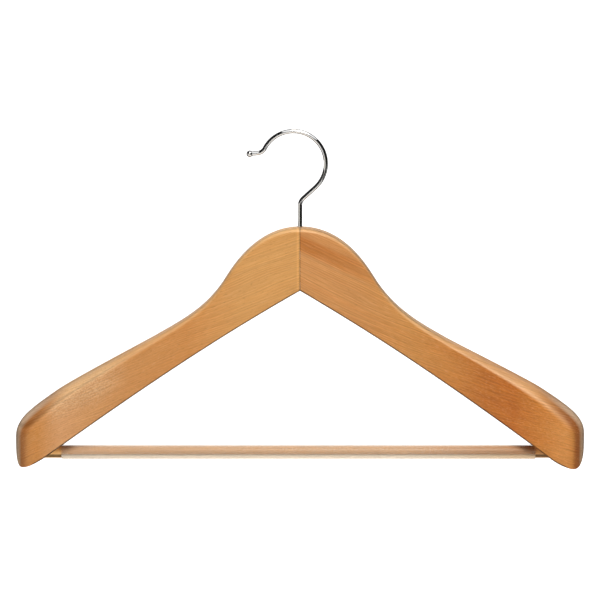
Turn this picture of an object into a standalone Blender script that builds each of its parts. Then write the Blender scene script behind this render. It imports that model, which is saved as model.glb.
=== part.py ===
"""Wide-shoulder wooden suit hanger: two mitred shoulders, a swivelling wire hook and a sleeved trouser bar.

Units are metres. +X runs along the hanger to the right, +Y to the back, +Z up. The shoulders sweep forward,
towards -Y. The origin is on the hook's swivel axis, where it crosses the inside of the hook's crown, which
is where a clothes rail carries the hanger.
"""

import math

import bmesh
import bpy
import numpy as np
from mathutils import Matrix, Vector

# Fits
GAP = 0.0003
SEAM = 0.0003

# Shoulders: the blank is sawn to a plan curve, then to the front outline, then rounded over along its top
HALF_SPAN = 0.2221
NECK_THICKNESS = 0.019
FLAT_NECK = 0.045
FRONT_SWEEP = 0.0455
BACK_SWEEP = 0.0145
SWEEP_POWER = 1.9
TOP_ROUND_AT_NECK = 0.0028
TOP_ROUND_AT_TIP = 0.0115
BOTTOM_ROUND = 0.0016
TOP_ROUND_SHARE = 0.45
BOTTOM_ROUND_SHARE = 0.3
STATIONS = 46
STATION_POWER = 1.25
CORNER_STEPS = 5

# Front outlines of the two shoulders, with x counted outwards from the seam. The right blade is a bit deeper.
# Each knot is x, z, heading in degrees below the outward direction, and the reach of the curve's handles
# before and after it.
CROWN = -0.0732
APEX = -0.1227
TOP_EDGES = {
    "left": (
        (0.0, CROWN, 0.0, 0.0, 0.0295),
        (0.0585, -0.1132, 58.4, 0.0192, 0.0268),
        (0.1130, -0.1585, 29.1, 0.0259, 0.0179),
        (0.1900, -0.1996, 33.0, 0.0121, 0.0352),
        (HALF_SPAN, -0.2355, 90.0, 0.0125, 0.0165),
        (0.2172, -0.2557, 178.0, 0.0022, 0.0),
    ),
    "right": (
        (0.0, CROWN, 0.0, 0.0, 0.0305),
        (0.0585, -0.1131, 58.2, 0.0194, 0.0287),
        (0.1130, -0.1598, 29.2, 0.0239, 0.0182),
        (0.1900, -0.1988, 31.6, 0.0124, 0.0389),
        (HALF_SPAN, -0.2355, 90.0, 0.0131, 0.0150),
        (0.2140, -0.2570, 178.0, 0.0045, 0.0),
    ),
}
LOWER_EDGES = {
    "left": (
        (0.0, APEX, 29.7, 0.0, 0.0670),
        (0.1960, -0.2470, 33.5, 0.0668, 0.0090),
        (0.2160, -0.2557, 5.0, 0.0042, 0.0),
    ),
    "right": (
        (0.0, APEX, 30.6, 0.0, 0.0710),
        (0.1960, -0.2506, 34.7, 0.0690, 0.0060),
        (0.2126, -0.2570, 5.0, 0.0050, 0.0),
    ),
}

# Hook: round wire bent in the XZ plane, its eye open to the left
WIRE_RADIUS = 0.00175
EYE_RADIUS = 0.0254
EYE_OFFSET = 0.0052
EYE_DEPTH = math.sqrt((EYE_RADIUS - WIRE_RADIUS) ** 2 - EYE_OFFSET**2)
EYE_START = math.radians(-47.8)
EYE_END = math.radians(152.0)
NECK_BEND_RADIUS = 0.008
LEAD_BEND_RADIUS = 0.007
LEAD_HEADING = math.radians(185.0)
LEAD_LENGTH = 0.0042
BALL_RADIUS = 0.0026
BALL_RINGS = 8
BALL_LAST_RING = math.radians(80.0)
HOOK_SIDES = 16

# Swivel seat, a turned pocket on the swivel axis: sleeve hole, bush pocket and chamber for the peened head
BUSH_TOP = -0.0755
BUSH_LENGTH = 0.0127
BUSH_RADIUS = 0.0035
WASHER_RADIUS = 0.0048
WASHER_THICKNESS = 0.0010
HEAD_RADIUS = 0.0031
HEAD_HEIGHT = 0.0020
HEAD_RINGS = (1.0, 0.8, 0.45, 0.0)
HEAD_DOMING = 0.55
CHAMBER_BOTTOM = -0.0950
POCKET_ABOVE_CROWN = 0.005
TURNED_SIDES = 24

# Dowels across the mitre
DOWEL_RADIUS = 0.0030
DOWEL_LENGTH = 0.030
DOWEL_CHAMFER = 0.0006
DOWEL_HEIGHTS = {"upper_dowel": -0.1025, "lower_dowel": -0.1135}

# Trouser bar and its non-slip sleeve
BAR_Y = -0.0225
BAR_Z = -0.2486
BAR_RADIUS = 0.00475
BAR_HALF_LENGTH = 0.2085
BAR_CHAMFER = 0.0008
SLEEVE_RADIUS = 0.0056
SLEEVE_HALF_LENGTH = 0.1850
BAR_SIDES = 24

# Brads, driven from the back through the ends of the bar
BRAD_X = 0.2045
BRAD_RADIUS = 0.0007
BRAD_HEAD_RADIUS = 0.0012
BRAD_HEAD_HEIGHT = 0.0008
BRAD_FRONT = -0.0340
BRAD_POINT_LENGTH = 0.0015
BRAD_POINT_SHARE = 0.35
BRAD_HOLE_BEHIND = 0.002
BRAD_SIDES = 12

# Name, base colour, metallic, roughness
FINISHES = {
    "light_beech": ((0.66, 0.36, 0.14), 0.0, 0.38),
    "red_beech": ((0.58, 0.28, 0.10), 0.0, 0.38),
    "bare_beech": ((0.70, 0.50, 0.30), 0.0, 0.60),
    "chrome": ((0.80, 0.80, 0.82), 1.0, 0.08),
    "brass": ((0.75, 0.56, 0.25), 1.0, 0.30),
    "zinc_steel": ((0.62, 0.62, 0.63), 1.0, 0.35),
    "clear_vinyl": ((0.80, 0.74, 0.68), 0.0, 0.30),
}


def clear_scene():
    for obj in list(bpy.data.objects):
        bpy.data.objects.remove(obj, do_unlink=True)


def make_materials():
    for name, (colour, metallic, roughness) in FINISHES.items():
        material = bpy.data.materials.new(name)
        material.use_nodes = True
        shader = material.node_tree.nodes["Principled BSDF"]
        shader.inputs["Base Color"].default_value = (*colour, 1.0)
        shader.inputs["Metallic"].default_value = metallic
        shader.inputs["Roughness"].default_value = roughness


def object_from(name, mesh, finish, smooth_angle=35.0):
    """Closes a bmesh into an object with outward faces and one material."""
    bmesh.ops.recalc_face_normals(mesh, faces=mesh.faces)
    data = bpy.data.meshes.new(name)
    mesh.to_mesh(data)
    mesh.free()
    data.shade_smooth()
    data.set_sharp_from_angle(angle=math.radians(smooth_angle))
    obj = bpy.data.objects.new(name, data)
    bpy.context.scene.collection.objects.link(obj)
    if finish:
        data.materials.append(bpy.data.materials[finish])
    return obj


def cutter_from(name, mesh):
    cutter = object_from(name, mesh, None)
    cutter.hide_render = True
    cutter.display_type = "WIRE"
    return cutter


def cut(obj, cutter):
    modifier = obj.modifiers.new(cutter.name, "BOOLEAN")
    modifier.operation = "DIFFERENCE"
    modifier.solver = "EXACT"
    modifier.object = cutter


def skin(rings):
    """A bmesh through rings of equally many points, closed by a face at each end."""
    mesh = bmesh.new()
    loops = [[mesh.verts.new(point) for point in ring] for ring in rings]
    for near, far in zip(loops, loops[1:]):
        for i in range(len(near)):
            j = (i + 1) % len(near)
            mesh.faces.new((near[i], near[j], far[j], far[i]))
    mesh.faces.new(loops[0][::-1])
    mesh.faces.new(loops[-1])
    return mesh


def turned(profile, sides, inner=0.0):
    """A solid of revolution about Z from (radius, z) pairs. inner leaves a through bore of that radius."""
    mesh = bmesh.new()
    rings = []
    points = list(profile)
    if inner:
        points = points + [(inner, points[-1][1]), (inner, points[0][1])]
    for radius, z in points:
        angles = [2 * math.pi * k / sides for k in range(sides)]
        rings.append([mesh.verts.new((radius * math.cos(a), radius * math.sin(a), z)) for a in angles])
    pairs = list(zip(rings, rings[1:]))
    if inner:
        pairs.append((rings[-1], rings[0]))
    for near, far in pairs:
        for i in range(sides):
            j = (i + 1) % sides
            mesh.faces.new((near[i], near[j], far[j], far[i]))
    if not inner:
        mesh.faces.new(rings[0])
        mesh.faces.new(rings[-1])
    return mesh


def lay_along(mesh, axis, centre):
    """Turns a mesh made about Z so that its +Z runs along axis, and moves it to centre."""
    turn = Vector((0.0, 0.0, 1.0)).rotation_difference(Vector(axis)).to_matrix().to_4x4()
    bmesh.ops.transform(mesh, matrix=Matrix.Translation(centre) @ turn, verts=mesh.verts)
    return mesh


def rod(radius, length, sides, axis, centre, chamfer=0.0):
    """A round rod with chamfered ends, centred at centre."""
    half = length / 2
    profile = [(radius, -half), (radius, half)]
    if chamfer:
        profile = [(radius - chamfer, -half), (radius, chamfer - half)]
        profile += [(radius, half - chamfer), (radius - chamfer, half)]
    return lay_along(turned(profile, sides), axis, centre)


# Shoulders


def heading(degrees):
    return np.array((math.cos(math.radians(degrees)), -math.sin(math.radians(degrees))))


def smooth_edge(knots, steps=40):
    """Points along the cubic curves that join the knots with the stated headings."""
    t = np.linspace(0.0, 1.0, steps, endpoint=False)[:, None]
    spans = []
    for (x0, z0, turn0, _, reach0), (x1, z1, turn1, reach1, _) in zip(knots, knots[1:]):
        start = np.array((x0, z0))
        end = np.array((x1, z1))
        leave = start + heading(turn0) * reach0
        arrive = end - heading(turn1) * reach1
        spans.append(
            (1 - t) ** 3 * start + 3 * (1 - t) ** 2 * t * leave + 3 * (1 - t) * t**2 * arrive + t**3 * end
        )
    spans.append(np.array(knots[-1][:2])[None, :])
    return np.vstack(spans)


def at_fractions(edge, fractions):
    """Points of an edge at fractions of its length."""
    lengths = np.concatenate(([0.0], np.cumsum(np.linalg.norm(np.diff(edge, axis=0), axis=1))))
    wanted = fractions * lengths[-1]
    return np.column_stack([np.interp(wanted, lengths, edge[:, k]) for k in range(2)])


def growth(x):
    """0 over the flat neck, rising to 1 at the tip."""
    return min(max((x - FLAT_NECK) / (HALF_SPAN - FLAT_NECK), 0.0), 1.0)


def face_y(x, face):
    """The front face for face = -1 and the back face for face = 1. Both sweep forward, the front one more."""
    sweep = FRONT_SWEEP if face < 0 else BACK_SWEEP
    return face * NECK_THICKNESS / 2 - sweep * growth(x) ** SWEEP_POWER


def section(bottom, top):
    """The shoulder's section between a point of the lower edge and one of the top edge, as a ring."""
    depth = float(np.linalg.norm(top - bottom))
    up = (top - bottom) / depth
    wanted = TOP_ROUND_AT_NECK + (TOP_ROUND_AT_TIP - TOP_ROUND_AT_NECK) * growth(top[0])
    top_round = min(wanted, TOP_ROUND_SHARE * depth)
    low_round = min(BOTTOM_ROUND, BOTTOM_ROUND_SHARE * depth)
    quarter = [math.pi / 2 * k / CORNER_STEPS for k in range(CORNER_STEPS + 1)]
    side = [(low_round * (1 - math.cos(a)), low_round * (1 - math.sin(a))) for a in quarter]
    side += [(depth - top_round * (1 - math.sin(a)), top_round * (1 - math.cos(a))) for a in quarter]
    ring = [(along, -1.0, inset) for along, inset in side]
    ring += [(along, 1.0, inset) for along, inset in reversed(side)]
    points = []
    for along, face, inset in ring:
        x, z = bottom + up * along
        points.append((x, face_y(x, face) - face * inset, z))
    return points


def shoulder_rings(side):
    spread = 1 - (1 - np.linspace(0.0, 1.0, STATIONS)) ** STATION_POWER
    tops = at_fractions(smooth_edge(TOP_EDGES[side]), spread)
    bottoms = at_fractions(smooth_edge(LOWER_EDGES[side]), spread)
    tops[0, 0] = SEAM / 2
    bottoms[0, 0] = SEAM / 2
    return [section(bottom, top) for bottom, top in zip(bottoms, tops)]


def make_shoulder(side, finish, cutters):
    outward = -1 if side == "left" else 1
    rings = [[(outward * x, y, z) for x, y, z in ring] for ring in shoulder_rings(side)]
    shoulder = object_from(side + "_shoulder", skin(rings), finish)
    for cutter in cutters:
        cut(shoulder, cutter)


# Hook and swivel


def arc(centre, radius, start, end, steps):
    angles = np.linspace(start, end, steps + 1)
    return [(centre[0] + radius * math.cos(a), centre[1] + radius * math.sin(a)) for a in angles]


def hook_line():
    """The wire's centre line as (x, z) points, from the top of the shank up and round to the ball."""
    centre = (-EYE_OFFSET, -EYE_DEPTH)
    leave = EYE_START + math.pi / 2
    joint_x = centre[0] + EYE_RADIUS * math.cos(EYE_START)
    joint_z = centre[1] + EYE_RADIUS * math.sin(EYE_START)
    corner_z = joint_z - joint_x * math.tan(leave)
    turn = math.pi / 2 - leave
    bend_start_z = corner_z - NECK_BEND_RADIUS * math.tan(turn / 2)
    line = arc((NECK_BEND_RADIUS, bend_start_z), NECK_BEND_RADIUS, math.pi, math.pi - turn, 8)
    line += arc(centre, EYE_RADIUS, EYE_START, EYE_END, 44)
    reach = EYE_RADIUS + LEAD_BEND_RADIUS
    lead = (centre[0] + reach * math.cos(EYE_END), centre[1] + reach * math.sin(EYE_END))
    lead_start = EYE_END - math.pi
    lead_end = LEAD_HEADING + math.pi / 2 - 2 * math.pi
    line += arc(lead, LEAD_BEND_RADIUS, lead_start, lead_end, 8)[1:]
    x, z = line[-1]
    line.append((x + LEAD_LENGTH * math.cos(LEAD_HEADING), z + LEAD_LENGTH * math.sin(LEAD_HEADING)))
    return line


def ring_across(point, along, radius):
    """A ring of the wire, square to the direction along, in a plane that holds Y."""
    across = (along[1], -along[0])
    ring = []
    for k in range(HOOK_SIDES):
        angle = 2 * math.pi * k / HOOK_SIDES
        out = radius * math.cos(angle)
        ring.append((point[0] + out * across[0], radius * math.sin(angle), point[1] + out * across[1]))
    return ring


def directions(line):
    spots = np.array(line)
    steps = np.gradient(spots, axis=0)
    return steps / np.linalg.norm(steps, axis=1)[:, None]


def head_rings():
    """The peened head on the shank's end, domed below, up to where the shank leaves it."""
    head_top = BUSH_TOP - BUSH_LENGTH - GAP - WASHER_THICKNESS - GAP
    upright = (0.0, 1.0)
    rings = []
    for part in HEAD_RINGS:
        radius = HEAD_RADIUS * math.sqrt(1 - HEAD_DOMING * part**2)
        rings.append(ring_across((0.0, head_top - HEAD_HEIGHT * part), upright, radius))
    rings.append(ring_across((0.0, head_top), upright, WIRE_RADIUS))
    return rings


def ball_rings(end, way):
    """The formed ball, from where the wire runs into it to near its far pole."""
    buried = math.acos(WIRE_RADIUS / BALL_RADIUS)
    rings = []
    for angle in np.linspace(-buried, BALL_LAST_RING, BALL_RINGS):
        spot = end + way * BALL_RADIUS * (math.sin(angle) + math.sin(buried))
        rings.append(ring_across(spot, way, BALL_RADIUS * math.cos(angle)))
    return rings


def make_hook():
    line = hook_line()
    ways = directions(line)
    ways[0] = (0.0, 1.0)
    rings = head_rings()
    rings += [ring_across(point, way, WIRE_RADIUS) for point, way in zip(line[:-1], ways)]
    rings += ball_rings(np.array(line[-1]), ways[-1])
    object_from("hook", skin(rings), "chrome")


def swivel_cutter():
    """The turned pocket that both shoulders share half of."""
    bush_bottom = BUSH_TOP - BUSH_LENGTH
    profile = (
        (WASHER_RADIUS + 2 * GAP, CHAMBER_BOTTOM),
        (WASHER_RADIUS + 2 * GAP, bush_bottom - GAP / 2),
        (BUSH_RADIUS + GAP, bush_bottom - GAP / 2),
        (BUSH_RADIUS + GAP, BUSH_TOP + GAP),
        (WIRE_RADIUS + GAP, BUSH_TOP + GAP),
        (WIRE_RADIUS + GAP, CROWN + POCKET_ABOVE_CROWN),
    )
    return cutter_from("swivel_pocket", turned(profile, TURNED_SIDES))


def make_swivel():
    bottom = BUSH_TOP - BUSH_LENGTH
    bore = WIRE_RADIUS + GAP
    bush = turned(((BUSH_RADIUS, bottom), (BUSH_RADIUS, BUSH_TOP)), TURNED_SIDES, bore)
    object_from("swivel_bush", bush, "brass")
    top = bottom - GAP
    washer = turned(((WASHER_RADIUS, top - WASHER_THICKNESS), (WASHER_RADIUS, top)), TURNED_SIDES, bore)
    object_from("retaining_washer", washer, "zinc_steel")


# Dowels, bar and brads


def dowel_cutters():
    cutters = []
    for name, z in DOWEL_HEIGHTS.items():
        hole = rod(DOWEL_RADIUS + GAP, DOWEL_LENGTH + 4 * GAP, TURNED_SIDES, (1, 0, 0), (0, 0, z))
        cutters.append(cutter_from(name + "_hole", hole))
    return cutters


def make_dowels():
    for name, z in DOWEL_HEIGHTS.items():
        dowel = rod(DOWEL_RADIUS, DOWEL_LENGTH, TURNED_SIDES, (1, 0, 0), (0, 0, z), chamfer=DOWEL_CHAMFER)
        object_from(name, dowel, "bare_beech")


def bar_cutter():
    hole = rod(BAR_RADIUS + GAP, 2 * (BAR_HALF_LENGTH + GAP), BAR_SIDES, (1, 0, 0), (0, BAR_Y, BAR_Z))
    return cutter_from("bar_hole", hole)


def make_bar(brad_holes):
    bar = rod(BAR_RADIUS, 2 * BAR_HALF_LENGTH, BAR_SIDES, (1, 0, 0), (0, BAR_Y, BAR_Z), chamfer=BAR_CHAMFER)
    bar = object_from("trouser_bar", bar, "light_beech")
    for hole in brad_holes:
        cut(bar, hole)
    half = SLEEVE_HALF_LENGTH
    sleeve = turned(((SLEEVE_RADIUS, -half), (SLEEVE_RADIUS, half)), BAR_SIDES, BAR_RADIUS + GAP)
    object_from("grip_sleeve", lay_along(sleeve, (1, 0, 0), (0, BAR_Y, BAR_Z)), "clear_vinyl")


def brad_profile(clearance):
    """Shank and head about Z, point first. The head sits just under the back of the shoulder."""
    back = face_y(BRAD_X, 1)
    head_top = back - GAP + (BRAD_HOLE_BEHIND if clearance else 0.0)
    head_bottom = back - GAP - BRAD_HEAD_HEIGHT - clearance
    return (
        (BRAD_RADIUS * BRAD_POINT_SHARE + clearance, BRAD_FRONT - clearance),
        (BRAD_RADIUS + clearance, BRAD_FRONT + BRAD_POINT_LENGTH),
        (BRAD_RADIUS + clearance, head_bottom),
        (BRAD_HEAD_RADIUS + clearance, head_bottom),
        (BRAD_HEAD_RADIUS + clearance, head_top),
    )


def brad_mesh(side, clearance=0.0):
    return lay_along(turned(brad_profile(clearance), BRAD_SIDES), (0, 1, 0), (side * BRAD_X, 0, BAR_Z))


def build():
    clear_scene()
    make_materials()
    swivel = swivel_cutter()
    dowels = dowel_cutters()
    bar_hole = bar_cutter()
    brad_holes = {
        "left": cutter_from("left_brad_hole", brad_mesh(-1, GAP)),
        "right": cutter_from("right_brad_hole", brad_mesh(1, GAP)),
    }
    shared = [swivel, *dowels, bar_hole]
    make_shoulder("left", "light_beech", [*shared, brad_holes["left"]])
    make_shoulder("right", "red_beech", [*shared, brad_holes["right"]])
    make_hook()
    make_swivel()
    make_dowels()
    make_bar(brad_holes.values())
    object_from("left_brad", brad_mesh(-1), "zinc_steel")
    object_from("right_brad", brad_mesh(1), "zinc_steel")


build()
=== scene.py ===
"""Looks of a wide-shoulder wooden suit hanger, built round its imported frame.

Units are metres. +X runs along the hanger to the right, +Y to the back, +Z up. The origin is on the hook's
swivel axis, at the inside of the hook's crown. The hook is one body and the wooden frame under it is the other.
"""

import math

import bmesh
import bpy
import numpy as np
from mathutils import Matrix, Vector


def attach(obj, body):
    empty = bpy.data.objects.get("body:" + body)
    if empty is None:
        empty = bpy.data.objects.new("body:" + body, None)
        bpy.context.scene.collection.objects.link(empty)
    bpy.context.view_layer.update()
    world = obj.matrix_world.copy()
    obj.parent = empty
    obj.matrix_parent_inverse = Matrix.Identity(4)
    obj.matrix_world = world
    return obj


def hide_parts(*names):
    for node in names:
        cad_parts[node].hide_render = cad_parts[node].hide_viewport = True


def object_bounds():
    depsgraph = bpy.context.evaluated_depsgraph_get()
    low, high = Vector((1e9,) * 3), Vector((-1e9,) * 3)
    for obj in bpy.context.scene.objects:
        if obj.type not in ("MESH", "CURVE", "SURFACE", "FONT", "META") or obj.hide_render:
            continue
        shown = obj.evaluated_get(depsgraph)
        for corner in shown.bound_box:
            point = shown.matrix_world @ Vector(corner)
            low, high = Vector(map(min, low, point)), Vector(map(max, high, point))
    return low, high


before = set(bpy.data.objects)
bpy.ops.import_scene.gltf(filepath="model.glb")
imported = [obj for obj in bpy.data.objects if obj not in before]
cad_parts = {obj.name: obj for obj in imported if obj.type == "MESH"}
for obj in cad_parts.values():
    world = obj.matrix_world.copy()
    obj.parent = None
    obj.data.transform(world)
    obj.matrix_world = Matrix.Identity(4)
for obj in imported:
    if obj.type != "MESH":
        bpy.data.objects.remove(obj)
cad_low, cad_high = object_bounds()

HOOK_BODY = "swivel_hook"
FRAME_BODY = "shoulder_frame"

# Fits. The mitre is glued, so its joint is far finer than the clearance between loose pieces.
GAP = 0.0003
MITRE_JOINT = 0.00002
MITRE_EASING = 0.00012

# Shoulders
HALF_SPAN = 0.2221
NECK_THICKNESS = 0.019
FLAT_NECK = 0.045
FRONT_SWEEP = 0.0455
BACK_SWEEP = 0.0145
SWEEP_POWER = 1.9
ROUND_AT_NECK = 0.0030
ROUND_AT_TIP = 0.0145
ROUND_POWER = 2.6
RIDGE_LEAN = math.radians(22.0)
RIDGE_BLEND = 0.0004
EDGE_ROUND = 0.0016
STATIONS = 170
STATION_POWER = 1.5
CURVE_STEPS = 60
TOP_STEPS = 16
MIDDLE_STEPS = 7
EDGE_STEPS = 7

# How far the finely divided edges of a section reach: in radii of their round, and at most in shares of the
# section's depth
LOWER_ZONE = (1.3, 0.3)
UPPER_ZONE = (1.45, 0.62)

# Front outlines, with x counted outwards from the seam. Each knot is x, z, heading in degrees below the outward
# direction, and the reach of the curve's handles before and after it.
CROWN = -0.0732
APEX = -0.1227
TOP_EDGES = {
    "left": (
        (0.0, CROWN, 0.0, 0.0, 0.0295),
        (0.0585, -0.1132, 58.4, 0.0192, 0.0268),
        (0.1130, -0.1585, 29.1, 0.0259, 0.0179),
        (0.1900, -0.1996, 33.0, 0.0121, 0.0352),
        (HALF_SPAN, -0.2355, 90.0, 0.0125, 0.0165),
        (0.2172, -0.2557, 178.0, 0.0022, 0.0),
    ),
    "right": (
        (0.0, CROWN, 0.0, 0.0, 0.0305),
        (0.0585, -0.1131, 58.2, 0.0194, 0.0287),
        (0.1130, -0.1598, 29.2, 0.0239, 0.0182),
        (0.1900, -0.1988, 31.6, 0.0124, 0.0389),
        (HALF_SPAN, -0.2355, 90.0, 0.0131, 0.0150),
        (0.2140, -0.2570, 178.0, 0.0045, 0.0),
    ),
}
LOWER_EDGES = {
    "left": (
        (0.0, APEX, 29.7, 0.0, 0.0670),
        (0.1960, -0.2470, 33.5, 0.0668, 0.0090),
        (0.2160, -0.2557, 5.0, 0.0042, 0.0),
    ),
    "right": (
        (0.0, APEX, 30.6, 0.0, 0.0710),
        (0.1960, -0.2506, 34.7, 0.0690, 0.0060),
        (0.2126, -0.2570, 5.0, 0.0050, 0.0),
    ),
}

# Hook
WIRE_RADIUS = 0.00175
EYE_RADIUS = 0.0254
EYE_OFFSET = 0.0052
EYE_DEPTH = math.sqrt((EYE_RADIUS - WIRE_RADIUS) ** 2 - EYE_OFFSET**2)
EYE_START = math.radians(-47.8)
EYE_END = math.radians(152.0)
NECK_BEND_RADIUS = 0.008
LEAD_BEND_RADIUS = 0.007
LEAD_HEADING = math.radians(185.0)
LEAD_LENGTH = 0.0042
BALL_RADIUS = 0.0026
BALL_RINGS = 20
BALL_LAST_RING = math.radians(84.0)
HOOK_SIDES = 40
BEND_STEPS = 18
EYE_STEPS = 130

# Swivel seat
BUSH_TOP = -0.0755
BUSH_LENGTH = 0.0127
BUSH_RADIUS = 0.0035
WASHER_RADIUS = 0.0048
WASHER_THICKNESS = 0.0010
HEAD_RADIUS = 0.0031
HEAD_HEIGHT = 0.0020
HEAD_RINGS = 10
HEAD_FIRST_RING = math.radians(82.0)
CHAMBER_BOTTOM = -0.0950
POCKET_ABOVE_CROWN = 0.005

# Dowels
DOWEL_RADIUS = 0.0030
DOWEL_LENGTH = 0.030
DOWEL_HEIGHTS = (-0.1025, -0.1135)

# Trouser bar
BAR_Y = -0.0225
BAR_Z = -0.2486
BAR_RADIUS = 0.00475
BAR_HALF_LENGTH = 0.2085
BAR_CHAMFER = 0.0008
BAR_RINGS = 39
BAR_RINGS_REACH = 0.19
ROUND_SIDES = 48

# Grip sleeve
SLEEVE_RADIUS = 0.0056
SLEEVE_BORE = BAR_RADIUS + 0.0001
SLEEVE_HALF_LENGTH = 0.1862
SLEEVE_MIDDLE = -0.0012
SLEEVE_RIBS = 36
SLEEVE_LIP = 0.0003
SLEEVE_INNER_RINGS = 25
SLEEVE_OUTER_RINGS = 49
RIB_HEIGHT = 0.00016
POINTS_PER_RIB = 8
WELD_DISTANCE = 1e-6

# Brads
BRAD_X = 0.2045
BRAD_RADIUS = 0.0007
BRAD_HEAD_RADIUS = 0.0012
BRAD_HEAD_HEIGHT = 0.0008
BRAD_FRONT = -0.0340
BRAD_POINT_LENGTH = 0.0015
BRAD_POINT_SHARE = 0.35
BRAD_DOME = 0.0002
BRAD_DOME_RINGS = 7
BRAD_DOME_END = math.radians(80.0)
BRAD_CLEARANCE = 0.6 * GAP
BRAD_HOLE_BEHIND = 0.002

# Faces that meet at more than this many degrees are shaded with a sharp edge between them
SHARP_ANGLE = 38.0
SLEEVE_SHARP_ANGLE = 60.0


# Mesh tools


def skin(rings, capped=True):
    """A bmesh through rings of equally many points."""
    mesh = bmesh.new()
    loops = [[mesh.verts.new(point) for point in ring] for ring in rings]
    for near, far in zip(loops, loops[1:]):
        for i in range(len(near)):
            j = (i + 1) % len(near)
            mesh.faces.new((near[i], near[j], far[j], far[i]))
    if capped:
        mesh.faces.new(loops[0][::-1])
        mesh.faces.new(loops[-1])
    return mesh


def turned(profile, sides=ROUND_SIDES):
    """A closed solid of revolution about Z from (radius, z) pairs."""
    rings = []
    for radius, z in profile:
        angles = [2 * math.pi * k / sides for k in range(sides)]
        rings.append([(radius * math.cos(a), radius * math.sin(a), z) for a in angles])
    return skin(rings)


def lay_along(mesh, axis, centre):
    """Turns a mesh made about Z so that its +Z runs along axis, and moves it to centre."""
    turn = Vector((0.0, 0.0, 1.0)).rotation_difference(Vector(axis)).to_matrix().to_4x4()
    bmesh.ops.transform(mesh, matrix=Matrix.Translation(centre) @ turn, verts=mesh.verts)
    return mesh


def link_mesh(name, mesh):
    """An object in the scene from a bmesh, which is freed."""
    bmesh.ops.recalc_face_normals(mesh, faces=mesh.faces)
    data = bpy.data.meshes.new(name)
    mesh.to_mesh(data)
    mesh.free()
    obj = bpy.data.objects.new(name, data)
    bpy.context.scene.collection.objects.link(obj)
    return obj


def subtract(obj, cutters):
    """Cuts the cutters from an object and keeps the result as its mesh."""
    for cutter in cutters:
        modifier = obj.modifiers.new(cutter.name, "BOOLEAN")
        modifier.operation = "DIFFERENCE"
        modifier.solver = "EXACT"
        modifier.object = cutter
    evaluated = obj.evaluated_get(bpy.context.evaluated_depsgraph_get())
    cut_mesh = bpy.data.meshes.new_from_object(evaluated)
    whole = obj.data
    obj.modifiers.clear()
    obj.data = cut_mesh
    bpy.data.meshes.remove(whole)


def make_piece(name, mesh, material, body, nodes, cutters=(), sharp_angle=SHARP_ANGLE):
    """One visible piece: cut, shaded, painted, and put in place of its CAD nodes."""
    piece = link_mesh(name, mesh)
    if cutters:
        subtract(piece, cutters)
    piece.data.shade_smooth()
    piece.data.set_sharp_from_angle(angle=math.radians(sharp_angle))
    piece.data.materials.clear()
    piece.data.materials.append(material)
    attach(piece, body)
    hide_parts(*nodes)
    return piece


# Shoulders


def heading(degrees):
    """The direction this many degrees below outwards, as x and z."""
    return np.array((math.cos(math.radians(degrees)), -math.sin(math.radians(degrees))))


def smooth_edge(knots, steps=CURVE_STEPS):
    """Points along the cubic curves that join the knots with the stated headings."""
    t = np.linspace(0.0, 1.0, steps, endpoint=False)[:, None]
    spans = []
    for (x0, z0, turn0, _, reach0), (x1, z1, turn1, reach1, _) in zip(knots, knots[1:]):
        start = np.array((x0, z0))
        end = np.array((x1, z1))
        leave = start + heading(turn0) * reach0
        arrive = end - heading(turn1) * reach1
        curve = (1 - t) ** 3 * start + 3 * (1 - t) ** 2 * t * leave
        curve = curve + 3 * (1 - t) * t**2 * arrive + t**3 * end
        spans.append(curve)
    spans.append(np.array(knots[-1][:2])[None, :])
    return np.vstack(spans)


def at_fractions(edge, fractions):
    """Points of an edge at fractions of its length."""
    lengths = np.concatenate(([0.0], np.cumsum(np.linalg.norm(np.diff(edge, axis=0), axis=1))))
    wanted = fractions * lengths[-1]
    return np.column_stack([np.interp(wanted, lengths, edge[:, k]) for k in range(2)])


def growth(x):
    """0 over the flat neck, rising to 1 at the tip."""
    return np.clip((x - FLAT_NECK) / (HALF_SPAN - FLAT_NECK), 0.0, 1.0)


def face_y(x, face):
    """The front face for face = -1 and the back face for face = 1. Both sweep forward, the front one more."""
    sweep = FRONT_SWEEP if face < 0 else BACK_SWEEP
    return face * NECK_THICKNESS / 2 - sweep * growth(x) ** SWEEP_POWER


def nearest_on(points, line):
    """Each point's distance to a polyline, and the spot on the line that is nearest."""
    steps = np.diff(line, axis=0)
    offsets = points[:, None, :] - line[None, :-1, :]
    shares = np.clip((offsets * steps).sum(-1) / (steps**2).sum(-1), 0.0, 1.0)
    spots = line[:-1] + shares[..., None] * steps
    gaps = np.linalg.norm(points[:, None, :] - spots, axis=-1)
    best = gaps.argmin(axis=1)
    rows = np.arange(len(points))
    return gaps[rows, best], spots[rows, best]


def quarter_round(distance, radius):
    """How far a rounded edge of this radius stands back from the face, at a distance in from the edge."""
    short = np.clip(radius - distance, 0.0, radius)
    return radius - np.sqrt(radius**2 - short**2)


def rolled_edge(distance, width):
    """As above, for the wide round-over. It starts from the face with a soft ridge instead of smoothly."""
    radius = width / (1 - math.sin(RIDGE_LEAN))
    short = np.clip(radius - distance, 0.0, radius)
    set_back = radius * math.cos(RIDGE_LEAN) - np.sqrt(radius**2 - short**2)
    return (set_back + np.sqrt(set_back**2 + RIDGE_BLEND**2)) / 2


def round_width(x):
    """Width of the round-over along the top edge, which grows towards the tip."""
    return ROUND_AT_NECK + (ROUND_AT_TIP - ROUND_AT_NECK) * growth(x) ** ROUND_POWER


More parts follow.
